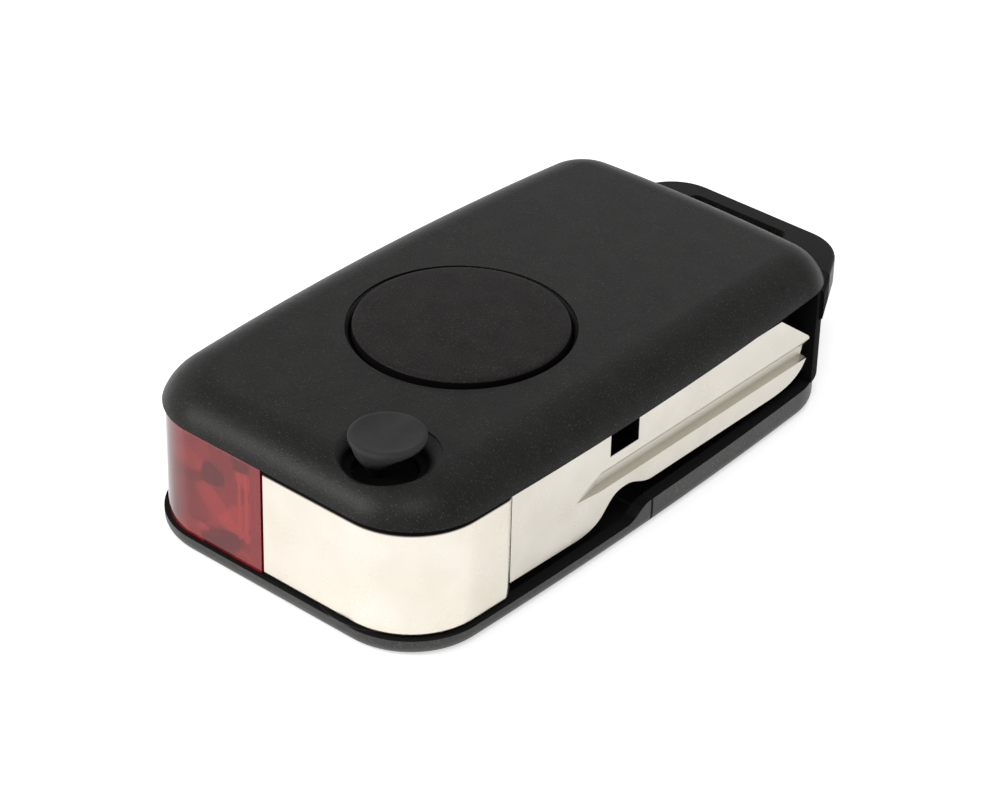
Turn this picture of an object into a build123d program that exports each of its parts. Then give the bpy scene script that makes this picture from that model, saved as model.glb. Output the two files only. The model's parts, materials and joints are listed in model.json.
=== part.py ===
from build123d import *
import math
import os

# Flip key remote shell, lying folded on its back.
# +Z is up, +X is the side that the blade folds into, -Y is the front end with the
# turning head and the infrared window, +Y is the end with the key ring lug.
# The origin is at the middle of the whole outline, on the surface that it lies on.

# Outline of the case, seen from above
case_width = 35.0
case_length = 60.1
front_bow = 0.5
rear_bow = 1.25
front_corner = 7.7
rear_corner = 5.6
base_rear_corner = 7.0
end_bow = 0.8

# Key ring lug
lug_reach = 4.75
lug_root = 3.5
lug_from_left = 8.9
lug_from_right = 0.9
lug_taper = 4.4
lug_left_corner = 5.0
lug_right_corner = 4.9
lug_low = 9.6
lug_bar = 1.9
ring_slot_width = 2.0
ring_slot_length = 11.5
ring_slot_shift = 0.2

# Heights of the joints between the pieces of the case
front_rim_high = 1.75
battery_rim_high = 2.95
cover_low = 12.8
cover_top = 16.3
cover_crown = 0.7
cover_round = 4.8
base_round = 1.3
joint_gap = 0.05

# Walls
cover_wall = 1.2
ceiling_high = 14.7
ceiling_round = 1.6
floor_wall = 1.2
rim_wall = 1.2
rim_room = 0.8
frame_wall = 1.4
frame_inset = 0.1
deck_low = 7.2
deck_wall = 1.0

# Seam between the front cover and the battery cover
seam_from_front = 30.75
seam_gap = 0.3
ramp_length = 3.4
lap_reach = 1.5
lap_skin = 0.5

# Turning head, its round part centred on the pivot
pivot_from_right = 9.2
pivot_from_front = 5.85
head_radius = 10.6
head_gap = 0.25
head_inset = 0.4
head_low = 1.9
head_high = 12.6
head_chamfer = 0.35
head_corner = 1.2
hub_radius = 5.0
hub_height = 0.9
running_gap = 0.06
core_radius = 3.9
web_wall = 0.8
groove_reach = 4.75
groove_width = 1.8
groove_count = 4

# Key blade
blade_from_right = 1.0
blade_wall = 2.8
blade_low = 4.35
blade_high = 12.3
root_low = 2.75
root_rise = 0.45
root_end = 21.5
step_high = 5.4
step_end = 27.85
neck_end = 32.0
tip_gap = 1.05
tip_length = 5.75
tip_high = 8.7
nose_length = 4.65
notch_start = 25.75
notch_length = 3.9
notch_low = 9.5
track_low = 6.45
track_high = 8.45
track_depth = 0.75
track_start = 19.2
track_full = 24.6
tang_wall = 1.6
tang_low = 4.6
tang_high = 10.6
tang_start = 9.2
tang_gap = 0.05
blade_pin_radius = 1.0
blade_pin_length = 8.0
blade_pin_from_front = 11.5

# Release button, its spring and the cap that the spring stands on
release_radius = 3.4
release_stem_radius = 2.8
release_high = 18.0
release_edge = 0.35
release_dish = 0.2
release_skirt_high = 17.2
release_shoulder_high = 13.9
release_neck_radius = 1.0
release_neck_high = 14.7
release_neck_shift = (-0.6, -0.45)
release_travel = 1.8
release_gap = 0.15
plunger_wall = 1.85
well_radius = 4.3
well_hole_radius = 3.7
well_depth = 0.8
well_floor_high = 14.4
well_boss_radius = 6.6
spring_wire = 0.8
spring_radius = 2.95
spring_pitch = 1.35
cap_high = 3.4
cap_post_radius = 1.7
cap_post_high = 5.4

# Main button
button_x = -0.2
button_from_front = 24.95
button_radius = 9.75
button_hole_radius = 10.05
button_crown = 0.35
button_proud = 0.1
button_flange = 0.8
button_flange_reach = 1.0
button_shell = 1.3
plunger_radius = 2.6

# Channel for the blade
channel_depth = 4.3
channel_wall = 1.2
channel_from_rear = 4.2

# Infrared window and the diodes behind it
window_inset = 0.4
window_wall = 1.4
window_side_end = 10.5
window_return = 4.2
diode_radius = 1.5
diode_pitch = 5.0
diode_from_left = 7.6
diode_z = 7.0
diode_tip_from_front = 4.3
diode_body = 3.6
screen_from_front = 5.7
screen_wall = 1.4

# Circuit board and what is on it
board_low = 8.9
board_wall = 1.0
board_gap = 0.4
post_gap = 0.35
chips_from_front = 39.55
chip_shift = 4.0
crystal_shift = 5.5
capacitor_shift = 1.0
capacitor_from_rear = 10.0
switch_size = 6.0
switch_high = 2.0
switch_knob = 1.6
sheet_wall = 0.8
sheet_radius = 10.6
dome_radius = 5.3
dome_wall = 0.6

# Coin cells and their contacts
cell_radius = 10.0
cell_height = 2.5
cell_low = 1.4
cell_from_rear = 13.2
cell_gap = 0.3
contact_wall = 0.3
contact_width = 4.0
contact_tail = 5.15
contact_tail_width = 1.8

# Case screws
screw_radius = 0.85
screw_head_radius = 1.6
screw_head = 1.1
screw_head_low = 1.55
screw_length = 10.4
screw_boss_radius = 2.0
screw_from_front = 34.25
screw_from_rear = 5.6
screw_from_side = (4.3, 2.6)
screw_from_side_rear = (5.6, 3.4)

# Values worked out from the sizes above
front_y = -(case_length + lug_reach) / 2
rear_y = front_y + case_length
hook_y = rear_y + end_bow * 0.35
left_x = -case_width / 2
right_x = case_width / 2
pivot_x = right_x - pivot_from_right
pivot_y = front_y + pivot_from_front
button_y = front_y + button_from_front
cell_y = rear_y - cell_from_rear
seam_y = front_y + seam_from_front
blade_face_x = right_x - blade_from_right
blade_back_x = blade_face_x - blade_wall
channel_wall_x = right_x - channel_depth
channel_left_x = channel_wall_x - channel_wall
channel_end_y = rear_y - channel_from_rear
tip_end_y = channel_end_y - tip_gap
lug_left_x = left_x + lug_from_left
lug_right_x = right_x - lug_from_right
ring_slot_x = (lug_left_x + lug_right_x - lug_taper) / 2 + ring_slot_shift
diode_x = left_x + diode_from_left
front_screw_y = front_y + screw_from_front
rear_screw_y = rear_y - screw_from_rear
deck_high = deck_low + deck_wall
board_high = board_low + board_wall
frame_high = cover_low - joint_gap
bay_left_x = left_x + frame_inset + frame_wall
cell_x = (bay_left_x + channel_left_x) / 2
cell_stack_high = cell_low + 2 * cell_height
plunger_high = head_high - web_wall - joint_gap
plunger_low = plunger_high - plunger_wall
groove_low = plunger_low - release_travel - head_gap


def from_front(distance):
    return front_y + distance


def outline(inset=0.0, corner=rear_corner):
    # rounded rectangle whose long sides bulge gently, a little narrower at the rear,
    # where the end bulges too
    half = case_width / 2 - inset
    front = half - front_bow
    rear = half - rear_bow
    low = front_y + inset
    high = rear_y - inset
    widest = low + (high - low) / (1 + math.sqrt(rear_bow / front_bow))
    with BuildSketch() as sketch:
        with BuildLine():
            Line((-front, low), (front, low))
            ThreePointArc((front, low), (half, widest), (rear, high))
            ThreePointArc((rear, high), (0, high + end_bow), (-rear, high))
            ThreePointArc((-rear, high), (-half, widest), (-front, low))
        make_face()
        corners = sketch.vertices().sort_by(Axis.Y)
        fillet(corners[:2], front_corner - inset)
        corners = sketch.vertices().filter_by(lambda v: v.Y > high - joint_gap)
        corners = corners.filter_by(lambda v: abs(v.X) > rear - joint_gap)
        fillet(corners, corner - inset)
    return sketch.sketch


def slab(face, low, high):
    return extrude(Pos(0, 0, low) * face, amount=high - low)


def disc(x, y, radius, low, high):
    return Pos(x, y, (low + high) / 2) * Cylinder(radius, high - low)


def block(x_range, y_range, z_range):
    sizes = [high - low for low, high in (x_range, y_range, z_range)]
    middle = [(low + high) / 2 for low, high in (x_range, y_range, z_range)]
    return Pos(*middle) * Box(*sizes)


def turned(x, y, points):
    # solid of revolution about a vertical axis, from radius and height pairs
    with BuildPart() as part:
        with BuildSketch(Plane.XZ):
            with BuildLine():
                Polyline(*points, close=True)
            make_face()
        revolve(axis=Axis.Z)
    return Pos(x, y, 0) * part.part


def screw_places():
    places = []
    for y, gaps in ((front_screw_y, screw_from_side), (rear_screw_y, screw_from_side_rear)):
        places += [(left_x + gaps[0], y), (channel_left_x - gaps[1], y)]
    return places



def crowned_body():
    # the rim round is cut off before it turns upright, where it meets the outline
    crown_radius = (case_length / 2) ** 2 / (2 * cover_crown)
    middle = (front_y + rear_y) / 2
    uncut = cover_round - (cover_top - cover_low)
    reach = cover_round - math.sqrt(cover_round ** 2 - uncut ** 2)
    body = slab(outline(-reach), cover_low - 2 * uncut, cover_top + 1)
    bend = Pos(0, middle, cover_top - crown_radius) * Rot(0, 90, 0)
    body &= bend * Cylinder(crown_radius, 2 * case_width)
    body = fillet(body.faces().sort_by(Axis.Z)[-1].edges(), cover_round)
    return body - slab(outline(-1), 0, cover_low)


def upper_cover():
    # moulded shell, crowned along its length, with a rim round that is wider than high
    whole = crowned_body()
    hollow = slab(outline(cover_wall), cover_low, ceiling_high)
    hollow = fillet(hollow.faces().sort_by(Axis.Z)[-1].edges(), ceiling_round)
    body = whole - hollow
    # wall that parts the inside from the blade channel
    rib = block((channel_left_x, channel_wall_x), (front_y, rear_y), (cover_low, ceiling_high))
    boss = disc(pivot_x, pivot_y, well_boss_radius, cover_low, ceiling_high + joint_gap)
    boss &= whole
    ribs = rib & hollow
    for x, y in screw_places():
        ribs += disc(x, y, screw_boss_radius, board_high + joint_gap, ceiling_high + joint_gap)
    body += ribs + boss
    # well around the release button, and the bearing for the hub of the head
    lip_radius = well_radius + 0.5
    along = (pivot_y - (front_y + rear_y) / 2) / (case_length / 2)
    lip_high = cover_top - cover_crown * along ** 2
    body -= turned(pivot_x, pivot_y, [
        (0, cover_top + 1), (lip_radius, cover_top + 1), (lip_radius, lip_high),
        (well_radius, lip_high - 0.2), (well_hole_radius, lip_high - well_depth),
        (well_hole_radius, well_floor_high), (0, well_floor_high)])
    body -= disc(pivot_x, pivot_y, release_stem_radius + release_gap, cover_low - 1, cover_top)
    hub_room = head_high + hub_height + head_gap
    body -= disc(pivot_x, pivot_y, hub_radius + running_gap, cover_low - 1, hub_room)
    # opening of the main button, with a small step at its lip
    step = button_hole_radius + 0.3
    body -= turned(button_x, button_y, [
        (0, cover_top + 1), (step, cover_top + 1), (step, cover_top - 0.25),
        (button_hole_radius, cover_top - 0.5), (button_hole_radius, ceiling_high - 1),
        (0, ceiling_high - 1)])
    for x, y in screw_places():
        body -= disc(x, y, screw_radius, board_high - 1, ceiling_high - 0.4)
    return body


def round_part_of_head(radius, low, high):
    return disc(pivot_x, pivot_y, radius, low, high)


def space_above_rim(lift):
    # the rim of the front cover is low under the head and climbs to the seam
    climb = seam_y - ramp_length
    low = front_rim_high + lift
    high = battery_rim_high + lift
    with BuildSketch(Plane.YZ) as sketch:
        with BuildLine():
            Line((front_y - 1, low), (climb, low))
            Spline((climb, low), (seam_y, high), tangents=((1, 0), (1, 0)))
            Line((seam_y, high), (seam_y, cover_top))
            Line((seam_y, cover_top), (front_y - 1, cover_top))
            Line((front_y - 1, cover_top), (front_y - 1, low))
        make_face()
    return extrude(sketch.sketch, amount=case_width, both=True)


def front_cover():
    # lower cover at the front end: a tray with a shelf that laps the battery cover
    whole = slab(outline(), 0, battery_rim_high)
    whole = fillet(whole.faces().sort_by(Axis.Z)[0].edges(), base_round)
    inside = slab(outline(rim_wall), floor_wall, battery_rim_high + 1)
    tray = whole - inside
    tray -= block((-case_width, case_width), (seam_y, rear_y + 1), (-1, battery_rim_high + 1))
    tray -= space_above_rim(0)
    # ring that carries the head, and the seat of the spring cap
    tray += turned(pivot_x, pivot_y, [
        (core_radius + 0.4, floor_wall - 0.1), (core_radius + 2, floor_wall - 0.1),
        (core_radius + 2, head_low - joint_gap), (core_radius + 0.4, head_low - joint_gap)])
    seat = Pos(pivot_x, pivot_y, floor_wall - 0.7) * extrude(RegularPolygon(2, 6), amount=1)
    tray -= seat
    # lap over the front lip of the battery cover
    lap_y = seam_y - lap_reach
    lap = block((-case_width, channel_left_x), (lap_y, seam_y + 1), (lap_skin, floor_wall + 0.1))
    tray -= lap & slab(outline(rim_wall), 0, front_rim_high)
    shelf_low = floor_wall + 0.1
    shelf_high = screw_head_low + screw_head + 1
    inner_left = bay_left_x + front_bow
    inner_right = channel_left_x - joint_gap
    tray += block((inner_left, inner_right), (lap_y - 1, seam_y), (shelf_low, shelf_high))
    tray += block((inner_left, inner_right), (lap_y - 1, lap_y), (floor_wall - 0.1, shelf_high))
    ear_reach = front_screw_y - seam_y + screw_head_radius + 0.5
    for x, _ in screw_places()[:2]:
        ear = block((x - 2.2, x + 2.2), (seam_y - 0.5, seam_y + ear_reach),
                    (screw_head_low + screw_head, shelf_high))
        ear = fillet(ear.edges().filter_by(Axis.Z).sort_by(Axis.Y)[-2:], 1.8)
        ear -= disc(x, front_screw_y, screw_radius + 0.1, 0, shelf_high + 1)
        tray += ear
    return tray


def battery_cover():
    # tray at the rear end that slides off backwards
    whole = slab(outline(0, base_rear_corner), 0, battery_rim_high)
    whole = fillet(whole.faces().sort_by(Axis.Z)[0].edges(), base_round)
    room = outline(rim_wall, base_rear_corner)
    cover = whole - slab(room, floor_wall, battery_rim_high + 1)
    cut_y = seam_y + seam_gap
    cover -= block((-case_width, case_width), (front_y - 1, cut_y), (-1, battery_rim_high + 1))
    # lip that reaches under the shelf of the front cover
    lip_left_x = -case_width / 2 + rim_wall + 1
    lip_low = lap_skin + joint_gap
    cover += block((lip_left_x, channel_left_x - 1), (cut_y - lap_reach, cut_y + 0.5),
                   (lip_low, floor_wall))
    # two hooks that grip the rear wall of the frame
    for side in (-1, 1):
        middle = cell_x + side * 6
        span = (middle - 3, middle + 3)
        cover += block(span, (hook_y - 0.7, hook_y), (battery_rim_high - 1, 4.9))
        cover += block(span, (hook_y - 1.7, hook_y), (4.1, 4.9))
    # grip grooves underneath
    for row in range(5):
        y = rear_y - 9 + row * 1.2
        groove = Pos(0, y, -0.25) * Rot(0, 90, 0) * Cylinder(0.5, 12)
        cover -= groove
    return cover


def middle_frame():
    # the carrier between the covers: side wall, rear wall with the lug, channel
    # wall, cavity of the head, and the deck that the board and the cells sit on
    face = outline(frame_inset)
    inner = outline(frame_inset + frame_wall)
    wall_low = front_rim_high + joint_gap
    frame = slab(face, wall_low, frame_high) - slab(inner, wall_low - 1, frame_high + 1)
    right = (channel_left_x, case_width)
    frame -= block(right, (front_y - 1, channel_end_y), (0, cover_top))
    inside = slab(outline(frame_inset + 0.5), floor_wall, frame_high)
    wall = block((channel_left_x, channel_wall_x), (pivot_y, rear_y), (wall_low, frame_high))
    end = block((channel_left_x, case_width), (channel_end_y, rear_y), (battery_rim_high, frame_high))
    cavity = round_part_of_head(head_radius + head_gap, 0, cover_top)
    cavity_wall = round_part_of_head(head_radius + head_gap + channel_wall, wall_low, frame_high)
    cavity_wall -= block((channel_wall_x, case_width), (front_y - 1, rear_y), (0, cover_top))
    cavity_wall -= block((-case_width, case_width), (front_y - 9, from_front(window_return + 0.1)),
                         (0, cover_top))
    deck = slab(inner, deck_low, deck_high)
    deck -= block((channel_wall_x, case_width), (front_y - 1, rear_y), (0, cover_top))
    screen_y = from_front(screen_from_front)
    deck_y = from_front(diode_tip_from_front + diode_body + 3)
    deck -= block((-case_width, case_width), (front_y - 1, deck_y), (0, cover_top))
    frame += (wall + end + cavity_wall + deck) & inside
    # posts for the screws, the ring that centres the cells, and the diode screen
    posts = Part()
    for x, y in screw_places():
        top = board_high
        posts += disc(x, y, screw_boss_radius, deck_low - joint_gap, top)
        low = screw_head_low + screw_head
        if y < cell_y:
            low += 1 + joint_gap
        posts += disc(x, y, screw_boss_radius, low, deck_low)
    ring = disc(cell_x, cell_y, cell_radius + cell_gap + 0.8, cell_low + 0.2, deck_low)
    ring -= disc(cell_x, cell_y, cell_radius + cell_gap, 0, deck_low + 1)
    keep = block((cell_x - 7, cell_x + 7), (cell_y - 20, cell_y + 20), (0, deck_low))
    ring &= keep
    frame += (ring + posts) & slab(inner, 0, frame_high)
    screen = block((-case_width, pivot_x), (screen_y, screen_y + screen_wall), (wall_low, frame_high))
    screen &= slab(inner, 0, frame_high)
    frame += screen
    # the cavity of the head and the window leave the frame open at the front
    frame -= cavity
    frame -= infrared_room()
    for x in diode_places():
        hood = Pos(x, screen_y - 0.01, diode_z) * Rot(-90, 0, 0)
        frame -= hood * Cylinder(diode_radius + 0.1, 8)
    # room for the rims of the two lower covers, with slots for the rear hooks
    rims = block((-case_width, case_width), (front_y - 1, rear_y + 1),
                 (0, battery_rim_high + joint_gap))
    rims -= slab(outline(rim_wall + rim_room), 0, cover_top)
    frame -= rims - space_above_rim(joint_gap)
    for side in (-1, 1):
        middle = cell_x + side * 6
        span = (middle - 3.15, middle + 3.15)
        frame -= block(span, (hook_y - 0.85, rear_y + 1), (battery_rim_high, 5.05))
        frame -= block(span, (hook_y - 1.85, rear_y + 1), (4, 5.05))
    frame += key_ring_lug() - slab(inner, 0, cover_top)
    for x, y in screw_places():
        frame -= disc(x, y, screw_radius + 0.1, 0, board_high + 1)
    # slots for the battery contacts and corner posts under the board
    frame -= contact_slots()
    return frame


def key_ring_lug():
    low = rear_y - lug_root
    high = rear_y + lug_reach
    with BuildSketch() as sketch:
        with BuildLine():
            Polyline((lug_left_x, low), (lug_right_x, low), (lug_right_x - lug_taper, high),
                     (lug_left_x, high), close=True)
        make_face()
        corners = sketch.vertices().group_by(Axis.Y)[-1].sort_by(Axis.X)
        fillet(corners[0], lug_left_corner)
        corners = sketch.vertices().filter_by(lambda v: v.Y > high - joint_gap).sort_by(Axis.X)
        fillet(corners[-1], lug_right_corner)
    lug = slab(sketch.sketch, lug_low, frame_high)
    rim = lug.edges().filter_by(lambda e: e.center().Y > rear_y + 0.5)
    rim = rim.filter_by(lambda e: abs(e.tangent_at(0.5).Z) < 0.1)
    lug = fillet(rim, 0.4)
    slot_y = high - lug_bar - ring_slot_width / 2
    slot = SlotOverall(ring_slot_length, ring_slot_width)
    lug -= Pos(ring_slot_x, slot_y, lug_low - 1) * extrude(slot, amount=8)
    return lug


def infrared_room():
    # the room that the window takes out of the frame, with its joint gap
    room = slab(outline(frame_inset - 0.2), 0, cover_top)
    room -= slab(outline(window_inset + window_wall + joint_gap), 0, cover_top)
    room &= block((-case_width, pivot_x), (front_y - 1, from_front(window_side_end + joint_gap)),
                  (0, cover_top))
    return room


def infrared_window():
    # clear wall that wraps the front corner, with a curved end wall that follows the head
    window = slab(outline(window_inset), head_low, frame_high)
    window -= slab(outline(window_inset + window_wall), 0, cover_top)
    window &= block((-case_width, pivot_x), (front_y, from_front(window_side_end)), (0, cover_top))
    inner_radius = head_radius + head_gap
    end = disc(pivot_x, pivot_y, inner_radius + window_wall - 0.2, head_low, frame_high)
    end &= block((-case_width, pivot_x), (front_y, from_front(window_return)), (0, cover_top))
    end &= slab(outline(window_inset), 0, cover_top)
    window += end
    window -= disc(pivot_x, pivot_y, inner_radius, 0, cover_top)
    return window


def diode_places():
    return (diode_x - diode_pitch / 2, diode_x + diode_pitch / 2)


def infrared_diode(x):
    # small round diode that looks forward, with two bent legs to the board
    tip = from_front(diode_tip_from_front)
    with BuildPart() as part:
        with BuildSketch(Plane.XY):
            with BuildLine():
                Line((0, 0), (0, diode_body))
                Line((0, diode_body), (diode_radius + 0.3, diode_body))
                Line((diode_radius + 0.3, diode_body), (diode_radius + 0.3, diode_body - 0.6))
                Line((diode_radius + 0.3, diode_body - 0.6), (diode_radius, diode_body - 0.6))
                Line((diode_radius, diode_body - 0.6), (diode_radius, diode_radius))
                RadiusArc((diode_radius, diode_radius), (0, 0), diode_radius)
            make_face()
        revolve(axis=Axis.Y)
    body = Pos(x, tip, diode_z) * part.part
    for side in (-1, 1):
        leg_x = x + side * 0.64
        back = tip + diode_body
        body += block((leg_x - 0.2, leg_x + 0.2), (back - 0.1, back + 2.6), (diode_z - 0.2, diode_z + 0.2))
        body += block((leg_x - 0.2, leg_x + 0.2), (back + 2.2, back + 2.6), (diode_z - 0.2, board_low))
    return body


def contact_slots():
    tail_y = cell_y + contact_tail
    half = contact_tail_width / 2 + 0.3
    slots = block((cell_x - half, cell_x + half), (tail_y - 0.45, tail_y + 0.45), (0, board_low))
    left = cell_x - cell_radius - contact_wall - 0.5
    half = contact_width / 2 + 0.3
    slots += block((left - 0.4, left + 1.2), (cell_y - half, cell_y + half), (0, board_low))
    return slots


def flip_head():
    # cast head: round about the pivot, trimmed to the outline of the case
    face = outline(head_inset)
    head = slab(face, head_low, head_high)
    head &= round_part_of_head(head_radius, head_low, head_high)
    upright = head.edges().filter_by(Axis.Z).filter_by(lambda e: e.center().Y < pivot_y + head_radius - 1)
    upright = upright.sort_by(Axis.Y)
    head = fillet(upright[-1], head_corner)
    head = chamfer(head.faces().sort_by(Axis.Z)[-1].edges(), head_chamfer)
    head = fillet(head.faces().sort_by(Axis.Z)[0].edges(), head_chamfer)
    hub_high = head_high + hub_height
    head += disc(pivot_x, pivot_y, hub_radius, head_high - 0.5, hub_high)
    # stepped bore: bearing for the cap, room for the spring, grooves for the plunger
    web_low = head_high - web_wall
    head -= disc(pivot_x, pivot_y, core_radius, 0, web_low)
    head -= disc(pivot_x, pivot_y, release_stem_radius + release_gap, 0, hub_high + 1)
    for turn in range(groove_count):
        angle = 45 + turn * 360 / groove_count
        groove = block((0, groove_reach), (-groove_width / 2, groove_width / 2),
                       (groove_low, web_low))
        head -= Pos(pivot_x, pivot_y, 0) * Rot(0, 0, angle) * groove
    head -= blade_tang(tang_gap)
    # hole that the blade pin is driven through
    y = from_front(blade_pin_from_front)
    middle = (tang_low + tang_high) / 2
    far_x = blade_pin_far_x()
    near_x = pivot_x - head_radius - 1
    bore = Pos((near_x + far_x) / 2, y, middle) * Rot(0, 90, 0)
    head -= bore * Cylinder(blade_pin_radius, far_x - near_x)
    return head


def blade_pin_far_x():
    return blade_back_x + tang_wall + 0.4


def blade_tang(gap):
    x_range = (blade_back_x - gap, blade_back_x + tang_wall + gap)
    y_range = (from_front(tang_start) - gap, pivot_y + head_radius)
    return block(x_range, y_range, (tang_low - gap, tang_high + gap))


def blade_track(side):
    # wide shallow groove along one face of the blade, which runs out to a point
    face_x = blade_face_x if side > 0 else blade_back_x
    deep_x = face_x - side * track_depth
    out_x = face_x + side * 0.5
    full_y = from_front(track_full)
    end_y = tip_end_y + 1
    slope_low = track_low + 0.15
    slope_high = track_high - 1.0
    rows = [(out_x, track_low - 0.1), (face_x, track_low), (deep_x, slope_low),
            (deep_x, slope_high), (face_x, track_high), (out_x, track_high + 0.5)]
    with BuildSketch(Plane.XZ.offset(-full_y)) as sketch:
        with BuildLine():
            Polyline(*rows, close=True)
        make_face()
    track = extrude(sketch.sketch, amount=-(end_y - full_y))
    point = Vertex(out_x, from_front(track_start), track_low + 0.5)
    return track + loft([sketch.sketch.face(), point])


def key_blade():
    # flat blade with a taller root, seen from the side
    with BuildSketch(Plane.YZ) as sketch:
        with BuildLine():
            root_y = pivot_y + 1
            root = (from_front(root_end), root_low)
            step = (from_front(step_end), step_high)
            neck = (from_front(neck_end), blade_low)
            rise_y = (2 * root[1] + step[1]) / 3
            slope_y = root[0] + 0.53 * (step[0] - root[0])
            Line((root_y, root_low + root_rise), root)
            Spline(root, (slope_y, rise_y), step, tangents=((1, 0), (1, 0)))
            Spline(step, neck, tangents=((1, 0.1), (1, 0)))
            curve = (tip_end_y - tip_length, blade_low)
            tip = (tip_end_y, tip_high - 1.4)
            nose = (tip_end_y - nose_length, blade_high)
            Line(neck, curve)
            Spline(curve, tip, tangents=((1, 0), (0.2, 1)))
            Line(tip, (tip_end_y, tip_high))
            Line((tip_end_y, tip_high), nose)
            Line(nose, (root_y, blade_high))
            Line((root_y, blade_high), (root_y, root_low + root_rise))
        make_face()
        with Locations((from_front(notch_start + notch_length / 2), (notch_low + blade_high) / 2)):
            Rectangle(notch_length, blade_high - notch_low, mode=Mode.SUBTRACT)
        ends = sketch.vertices().group_by(Axis.X)[-1]
        fillet(ends.sort_by(Axis.Y)[-1], 0.7)
    blade = extrude(Pos(blade_back_x, 0, 0) * sketch.sketch, amount=blade_wall)
    blade -= round_part_of_head(head_radius + joint_gap, 0, cover_top)
    blade -= block((0, case_width), (front_y, pivot_y + 1.5), (0, cover_top))
    blade -= blade_track(1)
    blade -= blade_track(-1)
    blade += blade_tang(0) & block((0, case_width), (front_y, rear_y), (0, cover_top))
    y = from_front(blade_pin_from_front)
    hole = Pos(blade_back_x, y, (tang_low + tang_high) / 2) * Rot(0, 90, 0)
    blade -= hole * Cylinder(blade_pin_radius, 4 * blade_wall)
    return blade


def blade_pin():
    y = from_front(blade_pin_from_front)
    middle = blade_pin_far_x() - blade_pin_length / 2
    pin = Cylinder(blade_pin_radius, blade_pin_length) - Cylinder(blade_pin_radius - 0.4, 20)
    pin -= Pos(blade_pin_radius, 0, 0) * Box(1, 0.3, 20)
    return Pos(middle, y, (tang_low + tang_high) / 2) * Rot(0, 90, 0) * pin


def release_button():
    # dished cap with a skirt that leans down to a narrow neck, on a stem with the
    # grooved plunger that turns with the head
    rim = release_radius - release_edge
    button = turned(pivot_x, pivot_y, [
        (0, release_skirt_high), (release_radius - 0.1, release_skirt_high),
        (release_radius, release_skirt_high + 0.15), (release_radius, release_high - release_edge),
        (release_radius - 0.1, release_high - 0.1), (rim, release_high),
        (rim - 0.2, release_high - 0.05), (rim - 0.5, release_high - release_dish),
        (0, release_high - release_dish)])
    neck_x = pivot_x + release_neck_shift[0]
    neck_y = pivot_y + release_neck_shift[1]
    narrow = Pos(neck_x, neck_y, release_neck_high) * Circle(release_neck_radius)
    wide = Pos(pivot_x, pivot_y, release_skirt_high + 0.05) * Circle(release_radius - 0.15)
    button += loft([narrow.face(), wide.face()])
    button += disc(neck_x, neck_y, release_neck_radius, release_shoulder_high - 0.1, release_neck_high + 0.02)
    button += turned(pivot_x, pivot_y, [
        (0, plunger_low), (core_radius - release_gap, plunger_low),
        (core_radius - release_gap, plunger_high), (release_stem_radius, plunger_high),
        (release_stem_radius, release_shoulder_high), (0, release_shoulder_high)])
    for turn in range(groove_count):
        angle = 45 + turn * 360 / groove_count
        lug = block((0, groove_reach - release_gap),
                    (-groove_width / 2 + release_gap, groove_width / 2 - release_gap),
                    (plunger_low, plunger_high))
        button += Pos(pivot_x, pivot_y, 0) * Rot(0, 0, angle) * lug
    # pocket that centres the top of the spring
    button -= disc(pivot_x, pivot_y, spring_radius - spring_wire, plunger_low - 1, plunger_high - 0.4)
    return button


def spring_cap():
    # fixed cap that the head turns on, with a post inside the spring
    low = floor_wall - 0.7
    cap = turned(pivot_x, pivot_y, [
        (0, floor_wall), (core_radius - running_gap, floor_wall),
        (core_radius - running_gap, cap_high - 0.2), (core_radius - running_gap - 0.2, cap_high),
        (cap_post_radius, cap_high), (cap_post_radius, cap_post_high - 0.3),
        (cap_post_radius - 0.3, cap_post_high), (0, cap_post_high)])
    peg = extrude(RegularPolygon(2 - joint_gap, 6), amount=floor_wall - low + 0.1)
    return cap + Pos(pivot_x, pivot_y, low) * peg


def flip_spring():
    low = cap_high + joint_gap + spring_wire / 2
    high = plunger_low - joint_gap - spring_wire / 2
    path = Helix(spring_pitch, high - low, spring_radius)
    start = path @ 0
    profile = Plane(start, z_dir=path % 0) * RegularPolygon(spring_wire / 2, 8)
    coil = sweep(profile, path, is_frenet=True)
    return Pos(pivot_x, pivot_y, low) * coil


def main_button():
    # crowned disc with a flange under the cover, hollow below, with a plunger
    flange_high = ceiling_high - joint_gap
    flange_low = flange_high - button_flange
    edge_high = cover_top + button_proud - button_crown
    outer = button_radius
    edge = outer - 0.3
    crown_high = edge_high + button_crown
    crown_bend = (edge ** 2 + button_crown ** 2) / (2 * button_crown)
    reach = outer + button_flange_reach
    with BuildPart() as part:
        with BuildSketch(Plane.XZ):
            with BuildLine():
                Polyline((0, crown_high), (0, flange_low), (reach, flange_low), (reach, flange_high),
                         (outer, flange_high), (outer, edge_high - 0.3))
                ThreePointArc((outer, edge_high - 0.3), (outer - 0.09, edge_high - 0.09),
                              (edge, edge_high))
                RadiusArc((edge, edge_high), (0, crown_high), -crown_bend)
            make_face()
        revolve(axis=Axis.Z)
    button = part.part
    hollow = disc(0, 0, outer - button_shell, 0, edge_high - button_shell + 0.2)
    ribs = Part() + disc(0, 0, plunger_radius, flange_low, edge_high)
    for turn in range(3):
        rib = block((-outer, outer), (-0.4, 0.4), (flange_low + 0.8, edge_high))
        ribs += Rot(0, 0, 30 + 60 * turn) * rib
    button = button - (hollow - ribs)
    return Pos(button_x, button_y, 0) * button


def board_outline(inset):
    face = outline(frame_inset + frame_wall + inset)
    right = channel_left_x - inset
    cut = Pos(right + case_width / 2, 0) * Rectangle(case_width, 4 * case_length)
    face -= cut
    wall = head_radius + head_gap + channel_wall + inset
    face -= Pos(pivot_x, pivot_y) * Circle(wall)
    front = from_front(screen_from_front + screen_wall) + inset
    face -= Pos(0, front - case_length / 2) * Rectangle(4 * case_width, case_length)
    return face


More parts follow.
